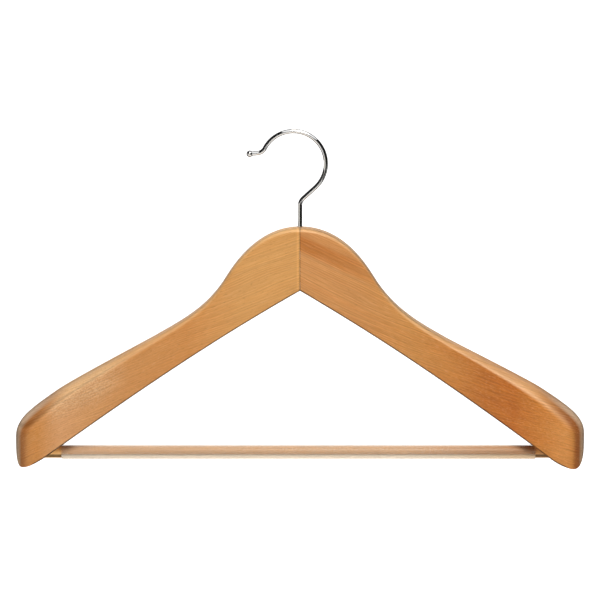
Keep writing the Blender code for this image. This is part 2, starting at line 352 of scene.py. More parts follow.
def spots_across(depth, radius):
    """Distances up a section of this depth, close together over its rounded edges."""
    low = min(LOWER_ZONE[0] * EDGE_ROUND, LOWER_ZONE[1] * depth)
    top = min(UPPER_ZONE[0] * radius, UPPER_ZONE[1] * depth)
    quarter = np.linspace(0.0, math.pi / 2, EDGE_STEPS + 1)
    wide_quarter = np.linspace(0.0, math.pi / 2, TOP_STEPS + 1)
    middle = np.linspace(low, depth - top, MIDDLE_STEPS + 1)[1:]
    near_lower = low * (1 - np.cos(quarter))
    near_top = depth - top * (1 - np.sin(wide_quarter[1:]))
    return np.concatenate((near_lower, middle, near_top))


def outline_of(side):
    """The top edge, the lower edge, the line that the large round-over follows, and the line of small ones."""
    top = smooth_edge(TOP_EDGES[side])
    lower = smooth_edge(LOWER_EDGES[side])
    widest = int(np.argmax(top[:, 0]))
    past_tip = np.array([[HALF_SPAN, 2 * CROWN + top[widest, 1]]])
    shaped = np.vstack((top[: widest + 1], past_tip))
    eased = np.vstack((lower, top[widest:][::-1]))
    return top, lower, shaped, eased


def section(bottom, top, shaped, eased):
    """The ring of points round the shoulder between a spot of the lower edge and one of the top edge."""
    depth = float(np.linalg.norm(top - bottom))
    up = (top - bottom) / depth
    spots = bottom + spots_across(depth, round_width(top[0]))[:, None] * up
    from_top, feet = nearest_on(spots, shaped)
    from_edge, _ = nearest_on(spots, eased)
    wide = rolled_edge(from_top, round_width(feet[:, 0]))
    set_back = np.maximum(wide, quarter_round(from_edge, EDGE_ROUND))
    ring = []
    for face, order in ((-1, slice(None)), (1, slice(None, None, -1))):
        y = face_y(spots[:, 0], face) - face * set_back
        ring.append(np.column_stack((spots[:, 0], y, spots[:, 1]))[order])
    return np.vstack(ring)


def eased_at_mitre(ring):
    """The first section again, drawn in a little, so that the glued mitre shows as a fine line."""
    middle = (ring.max(axis=0) + ring.min(axis=0)) / 2
    drawn = ring - MITRE_EASING * np.sign(ring - middle)
    drawn[:, 0] = MITRE_JOINT / 2
    return drawn


def shoulder_rings(side):
    """The shoulder's sections from the mitre to the tip, with x counted outwards."""
    top, lower, shaped, eased = outline_of(side)
    spread = 1 - (1 - np.linspace(0.0, 1.0, STATIONS)) ** STATION_POWER
    tops = at_fractions(top, spread)
    bottoms = at_fractions(lower, spread)
    tops[0, 0] = bottoms[0, 0] = MITRE_JOINT / 2 + MITRE_EASING
    rings = [section(bottom, upper, shaped, eased) for bottom, upper in zip(bottoms, tops)]
    return [eased_at_mitre(rings[0]), *rings]


def make_shoulder(side, material, cutters):
    """One wooden half. The left one is mirrored, so that its sections run to the left."""
    outward = np.array((-1.0 if side == "left" else 1.0, 1.0, 1.0))
    mesh = skin([ring * outward for ring in shoulder_rings(side)])
    name = side + "_shoulder"
    return make_piece(name + "_wood", mesh, material, FRAME_BODY, [name], cutters)


# Cutters for the shoulders' holes


def cylinder(radius, length, axis, centre):
    """A round rod about an axis through its centre."""
    half = length / 2
    return lay_along(turned(((radius, -half), (radius, half))), axis, centre)


def brad_profile(clearance):
    """Shank and head about Z, point first. With a clearance it is the hole, open to the back."""
    back = float(face_y(BRAD_X, 1))
    head_top = back - GAP + (BRAD_HOLE_BEHIND if clearance else 0.0)
    head_bottom = back - GAP - BRAD_HEAD_HEIGHT - clearance
    return (
        (BRAD_RADIUS * BRAD_POINT_SHARE + clearance, BRAD_FRONT - clearance),
        (BRAD_RADIUS + clearance, BRAD_FRONT + BRAD_POINT_LENGTH),
        (BRAD_RADIUS + clearance, head_bottom),
        (BRAD_HEAD_RADIUS + clearance, head_bottom),
        (BRAD_HEAD_RADIUS + clearance, head_top),
    )


def brad_hole(side):
    """The hole for a brad, at the left for side = -1 and at the right for side = 1."""
    return lay_along(turned(brad_profile(BRAD_CLEARANCE)), (0, 1, 0), (side * BRAD_X, 0, BAR_Z))


def swivel_pocket():
    """The neck's pocket: a chamber for the washer and the shank's head, the bush's seat, the wire's way out."""
    bush_bottom = BUSH_TOP - BUSH_LENGTH
    profile = (
        (WASHER_RADIUS + 2 * GAP, CHAMBER_BOTTOM),
        (WASHER_RADIUS + 2 * GAP, bush_bottom - GAP / 2),
        (BUSH_RADIUS + GAP, bush_bottom - GAP / 2),
        (BUSH_RADIUS + GAP, BUSH_TOP + GAP),
        (WIRE_RADIUS + GAP, BUSH_TOP + GAP),
        (WIRE_RADIUS + GAP, CROWN + POCKET_ABOVE_CROWN),
    )
    return turned(profile)


def shared_cutters():
    """What is cut from both shoulders: the swivel's pocket, the dowels' holes and the bar's blind holes."""
    cutters = [link_mesh("swivel_pocket", swivel_pocket())]
    for z in DOWEL_HEIGHTS:
        hole = cylinder(DOWEL_RADIUS + GAP, DOWEL_LENGTH + 4 * GAP, (1, 0, 0), (0, 0, z))
        cutters.append(link_mesh("dowel_hole", hole))
    bar_length = 2 * (BAR_HALF_LENGTH + GAP)
    bar_hole = cylinder(BAR_RADIUS + GAP / 2, bar_length, (1, 0, 0), (0, BAR_Y, BAR_Z))
    cutters.append(link_mesh("bar_hole", bar_hole))
    return cutters


# Hook


def arc(centre, radius, start, end, steps):
    """Points of a circle from one angle to another."""
    angles = np.linspace(start, end, steps + 1)
    return [(centre[0] + radius * math.cos(a), centre[1] + radius * math.sin(a)) for a in angles]


def hook_line():
    """The wire's centre line as (x, z) points, from the top of the shank up and round to the ball."""
    centre = (-EYE_OFFSET, -EYE_DEPTH)
    leave = EYE_START + math.pi / 2
    joint_x = centre[0] + EYE_RADIUS * math.cos(EYE_START)
    joint_z = centre[1] + EYE_RADIUS * math.sin(EYE_START)
    corner_z = joint_z - joint_x * math.tan(leave)
    turn = math.pi / 2 - leave
    bend_start_z = corner_z - NECK_BEND_RADIUS * math.tan(turn / 2)
    bend = (NECK_BEND_RADIUS, bend_start_z)
    line = arc(bend, NECK_BEND_RADIUS, math.pi, math.pi - turn, BEND_STEPS)
    line += arc(centre, EYE_RADIUS, EYE_START, EYE_END, EYE_STEPS)
    reach = EYE_RADIUS + LEAD_BEND_RADIUS
    lead = (centre[0] + reach * math.cos(EYE_END), centre[1] + reach * math.sin(EYE_END))
    lead_start = EYE_END - math.pi
    lead_end = LEAD_HEADING + math.pi / 2 - 2 * math.pi
    line += arc(lead, LEAD_BEND_RADIUS, lead_start, lead_end, BEND_STEPS)[1:]
    x, z = line[-1]
    end_x = x + LEAD_LENGTH * math.cos(LEAD_HEADING)
    end_z = z + LEAD_LENGTH * math.sin(LEAD_HEADING)
    return [*line, (end_x, end_z)]


def ring_across(point, along, radius):
    """A ring of the wire, square to the direction along, in a plane that holds Y."""
    across = (along[1], -along[0])
    ring = []
    for k in range(HOOK_SIDES):
        angle = 2 * math.pi * k / HOOK_SIDES
        out = radius * math.cos(angle)
        ring.append((point[0] + out * across[0], radius * math.sin(angle), point[1] + out * across[1]))
    return ring


def directions(line):
    """The unit direction of a line at each of its points."""
    steps = np.gradient(np.array(line), axis=0)
    return steps / np.linalg.norm(steps, axis=1)[:, None]


def shank_rings():
    """The peened head in the neck, domed below, and the straight shank above it."""
    head_top = BUSH_TOP - BUSH_LENGTH - 2 * GAP - WASHER_THICKNESS
    upright = (0.0, 1.0)
    rings = []
    for angle in np.linspace(HEAD_FIRST_RING, 0.0, HEAD_RINGS):
        drop = HEAD_HEIGHT * math.sin(angle)
        rings.append(ring_across((0.0, head_top - drop), upright, HEAD_RADIUS * math.cos(angle)))
    rings.append(ring_across((0.0, head_top), upright, WIRE_RADIUS))
    return rings


def ball_rings(end, way):
    """The formed ball, from where the wire runs into it to its far pole."""
    buried = math.acos(WIRE_RADIUS / BALL_RADIUS)
    rings = []
    for angle in np.linspace(-buried, BALL_LAST_RING, BALL_RINGS):
        spot = end + way * BALL_RADIUS * (math.sin(angle) + math.sin(buried))
        rings.append(ring_across(spot, way, BALL_RADIUS * math.cos(angle)))
    return rings


def make_hook(material):
    """The whole wire as one skin, from its peened head in the neck to the ball."""
    line = hook_line()
    ways = directions(line)
    ways[0] = (0.0, 1.0)
    rings = shank_rings()
    rings += [ring_across(point, way, WIRE_RADIUS) for point, way in zip(line[:-1], ways)]
    rings += ball_rings(np.array(line[-1]), ways[-1])
    return make_piece("hook_wire", skin(rings), material, HOOK_BODY, ["hook"])


# Bar, sleeve and brads


def make_bar(material, cutters):
    """The dowel with chamfered ends, cut where the brads pass through it."""
    half = BAR_HALF_LENGTH
    profile = [(BAR_RADIUS - BAR_CHAMFER, -half), (BAR_RADIUS, BAR_CHAMFER - half)]
    profile += [(BAR_RADIUS, x) for x in np.linspace(-BAR_RINGS_REACH, BAR_RINGS_REACH, BAR_RINGS)]
    profile += [(BAR_RADIUS, half - BAR_CHAMFER), (BAR_RADIUS - BAR_CHAMFER, half)]
    mesh = lay_along(turned(profile), (1, 0, 0), (0, BAR_Y, BAR_Z))
    return make_piece(
        "trouser_bar_dowel", mesh, material, FRAME_BODY, ["trouser_bar"], cutters
    )


def ribbed_ring(x, radius, rib_height):
    """One ring of the sleeve's outside. The ribs run lengthwise, round-topped with narrow valleys."""
    ring = []
    count = SLEEVE_RIBS * POINTS_PER_RIB
    for k in range(count):
        angle = 2 * math.pi * k / count
        valley = (0.5 + 0.5 * math.cos(angle * SLEEVE_RIBS)) ** 2
        reach = radius - rib_height * valley
        ring.append((x, BAR_Y + reach * math.cos(angle), BAR_Z + reach * math.sin(angle)))
    return ring


def make_sleeve(material):
    """The tube: its plain bore from right to left, then its ribbed outside back again, with eased ends."""
    left, right = SLEEVE_MIDDLE - SLEEVE_HALF_LENGTH, SLEEVE_MIDDLE + SLEEVE_HALF_LENGTH
    inside = np.linspace(right, left, SLEEVE_INNER_RINGS)
    outside = np.linspace(left + SLEEVE_LIP, right - SLEEVE_LIP, SLEEVE_OUTER_RINGS)
    inner = [ribbed_ring(x, SLEEVE_BORE, 0.0) for x in inside]
    outer = [ribbed_ring(x, SLEEVE_RADIUS, RIB_HEIGHT) for x in outside]
    ends = [ribbed_ring(x, SLEEVE_RADIUS - SLEEVE_LIP / 2, RIB_HEIGHT / 2) for x in (left, right)]
    mesh = skin([*inner, ends[0], *outer, ends[1], inner[0]], capped=False)
    bmesh.ops.remove_doubles(mesh, verts=mesh.verts, dist=WELD_DISTANCE)
    return make_piece(
        "grip_sleeve_tube",
        mesh,
        material,
        FRAME_BODY,
        ["grip_sleeve"],
        sharp_angle=SLEEVE_SHARP_ANGLE,
    )


def make_brad(name, side, material):
    """A thin brad with a shallow dome on its head."""
    profile = list(brad_profile(0.0))
    radius, top = profile.pop()
    for angle in np.linspace(0.0, BRAD_DOME_END, BRAD_DOME_RINGS):
        profile.append((radius * math.cos(angle), top - BRAD_DOME + BRAD_DOME * math.sin(angle)))
    mesh = lay_along(turned(profile), (0, 1, 0), (side * BRAD_X, 0, BAR_Z))
    return make_piece(name + "_nail", mesh, material, FRAME_BODY, [name])


# Node tools


def new_tree(name):
    """A new material and its node tree."""
    material = bpy.data.materials.new(name)
    material.use_nodes = True
    return material, material.node_tree


def add(tree, kind, settings, inputs):
    """A node with its settings and its inputs, each a socket to link or a plain value."""
    node = tree.nodes.new(kind)
    for key, value in settings.items():
        setattr(node, key, value)
    for key, value in inputs.items():
        if isinstance(value, bpy.types.NodeSocket):
            tree.links.new(value, node.inputs[key])
        else:
            node.inputs[key].default_value = value
    return node


def calc(tree, operation, first, second=0.0, third=0.0):
    """A Math node's result."""
    inputs = {0: first, 1: second, 2: third}
    return add(tree, "ShaderNodeMath", {"operation": operation}, inputs).outputs[0]


def rise(tree, value, low, high):
    """0 below low, 1 above high, smooth between."""
    settings = {"interpolation_type": "SMOOTHSTEP"}
    inputs = {"Value": value, "From Min": low, "From Max": high}
    return add(tree, "ShaderNodeMapRange", settings, inputs).outputs["Result"]


def hump(tree, value, centre, half_width):
    """1 at the centre, falling smoothly to 0 at half_width away on either side."""
    away = calc(tree, "ABSOLUTE", calc(tree, "SUBTRACT", value, centre))
    return fall(tree, away, 0.0, half_width)


def fall(tree, value, low, high):
    """1 below low, 0 above high, smooth between."""
    return calc(tree, "SUBTRACT", 1.0, rise(tree, value, low, high))


def noise(tree, parts, scales, detail=2.0, roughness=0.5):
    """Noise from 0 to 1 over three coordinates, each times its own scale."""
    vector = stretched(tree, parts, scales)
    inputs = {"Vector": vector, "Scale": 1.0, "Detail": detail, "Roughness": roughness}
    return add(tree, "ShaderNodeTexNoise", {}, inputs).outputs["Fac"]


def mix(tree, share, first, second, mode="MIX"):
    """The first colour for a share of 0 and the second one for a share of 1."""
    settings = {"data_type": "RGBA", "blend_type": mode}
    return add(tree, "ShaderNodeMix", settings, {0: share, 6: first, 7: second}).outputs[2]


def ramp(tree, value, stops):
    """A colour ramp through (position, colour) stops."""
    node = add(tree, "ShaderNodeValToRGB", {}, {"Fac": value})
    elements = node.color_ramp.elements
    while len(elements) < len(stops):
        elements.new(0.5)
    for element, (position, colour) in zip(elements, stops):
        element.position = position
        element.color = (*colour, 1.0)
    return node.outputs["Color"]


def stretched(tree, parts, scales):
    """A vector from three coordinates, each times its own scale."""
    scaled = [calc(tree, "MULTIPLY", part, scale) for part, scale in zip(parts, scales)]
    return add(tree, "ShaderNodeCombineXYZ", {}, dict(enumerate(scaled))).outputs[0]


def place(tree):
    """The surface's place in the hanger's own frame, as x, y and z."""
    coordinates = add(tree, "ShaderNodeTexCoord", {}, {})
    split = add(tree, "ShaderNodeSeparateXYZ", {}, {0: coordinates.outputs["Object"]})
    return split.outputs[0], split.outputs[1], split.outputs[2]


def bump(tree, height, distance, strength):
    """A normal from a height that stands for this distance."""
    inputs = {"Height": height, "Distance": distance, "Strength": strength}
    return add(tree, "ShaderNodeBump", {}, inputs).outputs["Normal"]


def feed(tree, inputs):
    """Sets or links the material's own shader sockets."""
    shader = tree.nodes["Principled BSDF"]
    for key, value in inputs.items():
        if isinstance(value, bpy.types.NodeSocket):
            tree.links.new(value, shader.inputs[key])
        else:
            shader.inputs[key].default_value = value


# Materials

# Scales of the wood's noises: along the fibres, through the board and across the growth rings
SWAY_SCALES = (9.0, 22.0, 22.0)
BAND_SCALES = (5.0, 45.0, 110.0)
WIDE_LINE_SCALES = (6.0, 160.0, 420.0)
LINE_SCALES = (10.0, 300.0, 1000.0)
FIBRE_SCALES = (90.0, 1500.0, 2600.0)
FLECK_SCALES = (330.0, 1500.0, 1900.0)
STAIN_SCALES = (28.0, 30.0, 40.0)
SPECKLE_SCALES = (800.0, 800.0, 1000.0)

# The range over which each noise takes effect, and the strength of the two that every recipe shares
BAND_RISE = (0.42, 0.62)
FLECK_RISE = (0.60, 0.72)
GLINT_RISE = (0.50, 0.72)
SPECKLE_RISE = (0.38, 0.62)
RING_RISE = (0.30, 0.62)
WIDE_LINES = 0.10
STAIN = 0.10

# Growth lines: their pitch, how far they wander and lean through the board, and where they are strong
RING_PITCH = 0.0020
RING_WANDER = 22.0
RING_WANDER_SCALES = (7.0, 40.0, 60.0)
RING_LEAN = 900.0
RING_STRENGTH_SCALES = (12.0, 90.0, 160.0)

# What both shoulders share: the tone of the painted highlight on the top edge, where the light from above falls,
# fading towards the tips, and those of the glints painted in the fibre and of the lacquer's reflection
TOP_HIGHLIGHT_TONE = (0.84, 0.58, 0.32, 1.0)
TOP_HIGHLIGHT_FACING = (0.25, 0.65)
TOP_HIGHLIGHT_FADE = (0.175, 0.205)
TOP_HIGHLIGHT_FADE_SHARE = -0.65
GLINT_TONE = (0.80, 0.60, 0.38, 1.0)
LACQUER_TINT = (1.0, 0.84, 0.62, 1.0)

# The way the front face looks at the outer ends, outwards and to the front. The rim turns away from it, and is
# painted with light and shade: first comes a dark band of painted shade, then greyer wood of painted reflection.
FLARE = (0.36, 0.933)
END_REACH = (0.180, 0.212)
SHADED_RIM = (0.46, 0.76)
REFLECTING_RIM = (0.84, 1.0)

# Shading by the way the surface looks. The lower edge's round is dark, the flat underside beyond it less so,
# and both are paler at the outer ends.
LOWER_EDGE = (0.03, 0.40)
LOWER_EDGE_SHADE = -0.80
UNDERSIDE = (0.60, 0.92)
UNDERSIDE_LIFT = 0.56
PALER_END = (0.2165, 0.2205)
PALER_END_SHARE = -0.5

# The dark line of painted shade behind the top edge's round: where the surface looks up, where it comes and goes
# as the surface turns to the back, how much of it the flat top loses, and where it ends towards the tips
TOP_FACING = (0.15, 0.35)
TOP_LINE_FROM = (-0.72, -0.42)
TOP_FLAT = (-0.20, 0.0)
TOP_FLAT_LOSS = -0.4
TOP_LINE_TO = (0.12, 0.40)
TOP_LINE_REACH = (0.09, 0.14)

# The painted dark line of shade along the round-over near the outer end, as the surface's lean where it lies and
# the line's half width, and where it starts. The glue line and its paler strip, as distances from the mitre. The
# least brightness that is left.
END_ROUND_SHADE_LINE = (0.55, 0.12)
END_ROUND_SHADE_REACH = (0.12, 0.16)
GLUE_LINE = (0.0002, 0.0008)
GLUE_STRIP = (0.0018, 0.0013)
DARKEST = 0.08


def grain_of(tree, recipe):
    """Wood coordinates: along the fibres outwards, through the board, and across the growth rings."""
    x, y, z = place(tree)
    out = calc(tree, "ABSOLUTE", calc(tree, "SUBTRACT", x, recipe["start"]))
    lean = calc(tree, "MULTIPLY", out, recipe["lean"])
    turn = calc(tree, "MULTIPLY", calc(tree, "MULTIPLY", out, out), recipe["turn"])
    straight = calc(tree, "SUBTRACT", calc(tree, "ADD", z, lean), turn)
    sway = noise(tree, (x, y, z), SWAY_SCALES, detail=1.0)
    swayed = calc(tree, "MULTIPLY_ADD", calc(tree, "SUBTRACT", sway, 0.5), recipe["sway"], straight)
    return out, y, swayed


def varied(tree, parts):
    """1 plus each noise's part of its own strength, as one brightness factor."""
    total = 1.0
    for value, strength in parts:
        centred = calc(tree, "SUBTRACT", value, 0.5)
        total = calc(tree, "MULTIPLY_ADD", centred, strength, total)
    return total


def patched(tree, recipe, parts, tone):
    """The tone with a dark streak along the grain near the neck, and with a speckled patch further out."""
    out, across = parts[0], parts[2]
    low, high, fading, top = recipe["streak_band"]
    band = calc(tree, "SUBTRACT", rise(tree, across, low, high), rise(tree, across, fading, top))
    streak = calc(tree, "MULTIPLY", band, hump(tree, out, 0.0, recipe["streak_reach"]))
    streak = calc(tree, "MULTIPLY", streak, recipe["streak"])
    tone = mix(tree, streak, tone, (*recipe["streak_tone"], 1.0))
    low, high = recipe["patch_rise"]
    start, full, fading, end = recipe["patch_reach"]
    reach = calc(tree, "SUBTRACT", rise(tree, out, start, full), rise(tree, out, fading, end))
    patch = calc(tree, "MULTIPLY", reach, rise(tree, across, low, high))
    patch = calc(tree, "MULTIPLY", patch, recipe["patch"])
    speckle = rise(tree, noise(tree, parts, SPECKLE_SCALES), *SPECKLE_RISE)
    speckled = mix(tree, speckle, (*recipe["patch_dark"], 1.0), (*recipe["patch_tone"], 1.0))
    return mix(tree, patch, tone, speckled)


def painted_end_shading(tree, recipe, out, facing, tone):
    """The tone with painted light and shade round the outer end: a dark band of painted shade round it, and
    greyer wood of painted reflection on the edge itself.
    """
    outwards = calc(tree, "MULTIPLY", facing[0], recipe["outwards"])
    frontal = calc(tree, "MULTIPLY", facing[1], -FLARE[1])
    frontal = calc(tree, "MULTIPLY_ADD", outwards, -FLARE[0], frontal)
    squared = calc(tree, "MULTIPLY", frontal, frontal)
    rim = calc(tree, "SQRT", calc(tree, "MULTIPLY_ADD", squared, -1.0, 1.0))
    end = calc(tree, "MULTIPLY", rise(tree, out, *END_REACH), recipe["end"])
    # Painted shade, then painted reflection, as the rim turns away from the front.
    dark = calc(tree, "MULTIPLY", end, rise(tree, rim, *SHADED_RIM))
    grey = calc(tree, "MULTIPLY", end, rise(tree, rim, *REFLECTING_RIM))
    tone = mix(tree, dark, tone, (*recipe["end_shade_tone"], 1.0))
    return mix(tree, grey, tone, (*recipe["end_reflection_tone"], 1.0))


def underside_shade(tree, recipe, out, facing_up):
    """The darker lower edge and underside, as a part of the brightness."""
    below = calc(tree, "MULTIPLY", facing_up, -1.0)
    shade = calc(tree, "MULTIPLY", rise(tree, below, *LOWER_EDGE), LOWER_EDGE_SHADE)
    shade = calc(tree, "MULTIPLY_ADD", rise(tree, below, *UNDERSIDE), UNDERSIDE_LIFT, shade)
    kept = calc(tree, "MULTIPLY_ADD", rise(tree, out, *PALER_END), PALER_END_SHARE * recipe["end"], 1.0)
    return calc(tree, "MULTIPLY", shade, kept)


def top_shade_line(tree, out, facing_up, facing_back):
    """The line of painted shade behind the top edge's round, from 0 to 1."""
    line = calc(tree, "MULTIPLY", rise(tree, facing_up, *TOP_FACING), rise(tree, facing_back, *TOP_LINE_FROM))
    kept = calc(tree, "MULTIPLY_ADD", rise(tree, facing_back, *TOP_FLAT), TOP_FLAT_LOSS, 1.0)
    for share in (kept, fall(tree, facing_back, *TOP_LINE_TO), fall(tree, out, *TOP_LINE_REACH)):
        line = calc(tree, "MULTIPLY", line, share)
    return line


def edge_shade(tree, recipe, out, facing):
    """What the painted shade on the edges, the painted dark line on the outer end's round-over and the glue line
    add to the brightness.
    """
    facing_back, facing_up = facing[1], facing[2]
    shade = underside_shade(tree, recipe, out, facing_up)
    # Painted shade: a dark line behind the top edge's round, where the surface turns away.
    top = top_shade_line(tree, out, facing_up, facing_back)
    shade = calc(tree, "MULTIPLY_ADD", top, -recipe["top_edge_shade"], shade)
    # Painted shade: a dark line at one lean of the round-over near the outer end.
    end_round_shade = calc(tree, "MULTIPLY", hump(tree, facing_up, *END_ROUND_SHADE_LINE), rise(tree, out, *END_ROUND_SHADE_REACH))
    shade = calc(tree, "MULTIPLY_ADD", end_round_shade, -recipe["end_round_shade"], shade)
    shade = calc(tree, "MULTIPLY_ADD", fall(tree, out, *GLUE_LINE), -recipe["glue_line"], shade)
    return calc(tree, "MULTIPLY_ADD", hump(tree, out, *GLUE_STRIP), recipe["glue_strip"], shade)


def growth_rings(tree, parts):
    """Fine growth lines, evenly spaced but wandering, that fade in and out: from -1 to 1."""
    through, across = parts[1], parts[2]
    wander = calc(tree, "MULTIPLY", noise(tree, parts, RING_WANDER_SCALES), RING_WANDER)
    turns = calc(tree, "MULTIPLY_ADD", across, 2 * math.pi / RING_PITCH, wander)
    turns = calc(tree, "MULTIPLY_ADD", through, RING_LEAN, turns)
    strength = rise(tree, noise(tree, parts, RING_STRENGTH_SCALES, detail=1.0), *RING_RISE)
    return calc(tree, "MULTIPLY", calc(tree, "SINE", turns), strength)


def beech_tone(tree, recipe, parts, facing):
    """The wood's colour before its fine grain: from the neck outwards, with patches, the painted highlight on the
    top edge and the painted shade and reflection of the end band.
    """
    out = parts[0]
    tone = ramp(tree, calc(tree, "DIVIDE", out, recipe["span"]), recipe["tones"])
    tone = patched(tree, recipe, parts, tone)
    # Painted highlight: surfaces that face up are painted paler where the light from above falls, less so towards
    # the tips.
    polish = calc(tree, "MULTIPLY", rise(tree, facing[2], *TOP_HIGHLIGHT_FACING), recipe["polish"])
    highlight_fade = calc(tree, "MULTIPLY_ADD", rise(tree, out, *TOP_HIGHLIGHT_FADE), TOP_HIGHLIGHT_FADE_SHARE, 1.0)
    tone = mix(tree, calc(tree, "MULTIPLY", polish, highlight_fade), tone, TOP_HIGHLIGHT_TONE)
    tone = painted_end_shading(tree, recipe, out, facing, tone)
    bands = rise(tree, noise(tree, parts, BAND_SCALES), *BAND_RISE)
    return mix(tree, bands, tone, (*recipe["band_tint"], 1.0), "MULTIPLY")


def lacquered_beech(name, recipe):
    """Satin-lacquered beech: broad bands, fine growth lines, fibre and short ray flecks."""
    material, tree = new_tree(name)
    parts = grain_of(tree, recipe)
    normal = add(tree, "ShaderNodeTexCoord", {}, {}).outputs["Normal"]
    facing = add(tree, "ShaderNodeSeparateXYZ", {}, {0: normal}).outputs
    lines = noise(tree, parts, LINE_SCALES, roughness=0.6)
    fibre = noise(tree, parts, FIBRE_SCALES)
    flecks = rise(tree, noise(tree, parts, FLECK_SCALES, detail=1.0), *FLECK_RISE)
    strengths = (
        (lines, recipe["lines"]),
        (noise(tree, parts, WIDE_LINE_SCALES), WIDE_LINES),
        (fibre, recipe["fibre"]),
        (noise(tree, parts, STAIN_SCALES), STAIN),
    )
    factor = varied(tree, strengths)
    factor = calc(tree, "MULTIPLY_ADD", growth_rings(tree, parts), recipe["rings"], factor)
    factor = calc(tree, "MULTIPLY_ADD", flecks, -recipe["fleck"], factor)
    factor = calc(tree, "ADD", factor, edge_shade(tree, recipe, parts[0], facing))
    factor = calc(tree, "MAXIMUM", factor, DARKEST)
    glint = calc(tree, "MULTIPLY", rise(tree, fibre, *GLINT_RISE), recipe["glint"])
    tone = mix(tree, glint, beech_tone(tree, recipe, parts, facing), GLINT_TONE)
    shaded = add(tree, "ShaderNodeVectorMath", {"operation": "SCALE"}, {0: tone, "Scale": factor}).outputs[0]
    rough = calc(tree, "MULTIPLY_ADD", lines, 0.10, 0.34)
    rough = calc(tree, "MULTIPLY_ADD", flecks, 0.10, rough)
    height = calc(tree, "MULTIPLY_ADD", fibre, 0.4, calc(tree, "MULTIPLY", lines, 0.5))
    height = calc(tree, "MULTIPLY_ADD", flecks, -0.5, height)
    feed(
        tree,
        {
            "Base Color": shaded,
            "Roughness": rough,
            "Normal": bump(tree, height, 0.00005, 0.6),
            "Specular IOR Level": 0.45,
            "Specular Tint": LACQUER_TINT,
            "Coat Weight": 0.10,
            "Coat Roughness": 0.23,
        },
    )
    return material


# A piece without streak, patch, glue line, painted end band, painted dark line on the end's round or painted top
# highlight. Lengths are in metres from the start.
# Reaches and bands are the places where a patch starts, is full, starts to fade and ends.
PLAIN_BEECH = {
    "start": 0.0,
    "span": HALF_SPAN,
    "streak": 0.0,
    "streak_tone": (0.5, 0.25, 0.1),
    "streak_band": (0.0, 0.1, 0.2, 0.3),
    "streak_reach": 0.1,
    "patch": 0.0,
    "patch_tone": (0.5, 0.25, 0.1),
    "patch_dark": (0.5, 0.25, 0.1),
    "patch_rise": (0.0, 0.1),
    "patch_reach": (0.0, 0.1, 0.2, 0.3),
    "end": 0.0,
    "outwards": 1.0,
    "end_shade_tone": (0.3, 0.1, 0.05),
    "end_reflection_tone": (0.4, 0.3, 0.2),
    "rings": 0.03,
    "lines": 0.44,
    "fibre": 0.20,
    "glint": 0.0,
    "end_round_shade": 0.0,
    "top_edge_shade": 0.0,
    "glue_line": 0.0,
    "glue_strip": 0.0,
    "polish": 0.0,
}
LEFT_BEECH = {
    **PLAIN_BEECH,
    "lean": 0.33,
    "turn": -0.35,
    "sway": 0.010,
    "tones": (
        (0.0, (0.592, 0.307, 0.104)),
        (0.20, (0.601, 0.313, 0.108)),
        (0.40, (0.555, 0.248, 0.076)),
        (0.60, (0.535, 0.250, 0.086)),
        (0.75, (0.547, 0.275, 0.112)),
        (0.84, (0.583, 0.303, 0.140)),
        (0.92, (0.495, 0.215, 0.060)),
        (1.0, (0.500, 0.218, 0.064)),
    ),
    "band_tint": (0.985, 0.965, 0.945),
    # The pale speckled patch on the outer face: the speckle is the end grain the face cuts across, and its
    # paleness is partly painted reflection.
    "patch": 0.7,
    "patch_tone": (0.65, 0.42, 0.245),
    "patch_dark": (0.52, 0.28, 0.125),
    "patch_rise": (-0.152, -0.134),
    "patch_reach": (0.130, 0.160, 0.188, 0.200),
    "end": 1.0,
    "outwards": -1.0,
    "end_shade_tone": (0.355, 0.135, 0.038),
    "end_reflection_tone": (0.600, 0.430, 0.300),
    "rings": 0.075,
    "lines": 0.38,
    "fibre": 0.22,
    "glint": 0.10,
    "end_round_shade": 0.24,
    "top_edge_shade": 0.18,
    "glue_line": 0.38,
    "glue_strip": 0.15,
    "polish": 0.38,
    "fleck": 0.20,
}
RIGHT_BEECH = {
    **PLAIN_BEECH,
    "lean": 0.50,
    "turn": 0.55,
    "sway": 0.008,
    "tones": (
        (0.0, (0.554, 0.265, 0.097)),
        (0.20, (0.545, 0.256, 0.088)),
        (0.40, (0.536, 0.248, 0.072)),
        (0.54, (0.505, 0.202, 0.048)),
        (0.65, (0.430, 0.141, 0.025)),
        (0.75, (0.428, 0.130, 0.019)),
        (0.84, (0.490, 0.178, 0.033)),
        (0.92, (0.545, 0.230, 0.059)),
        (1.0, (0.530, 0.222, 0.058)),
    ),
    "band_tint": (0.975, 0.935, 0.90),
    "streak": 0.85,
    "streak_tone": (0.43, 0.147, 0.031),
    "streak_band": (-0.0935, -0.0885, -0.0810, -0.0765),
    "streak_reach": 0.10,
    "end": 1.0,
    "end_shade_tone": (0.311, 0.104, 0.026),
    "end_reflection_tone": (0.600, 0.420, 0.285),
    "rings": 0.085,
    "lines": 0.68,
    "fibre": 0.34,
    "glint": 0.10,
    "top_edge_shade": 0.34,
    "glue_line": 0.38,
    "polish": 0.44,
    "fleck": 0.14,
}
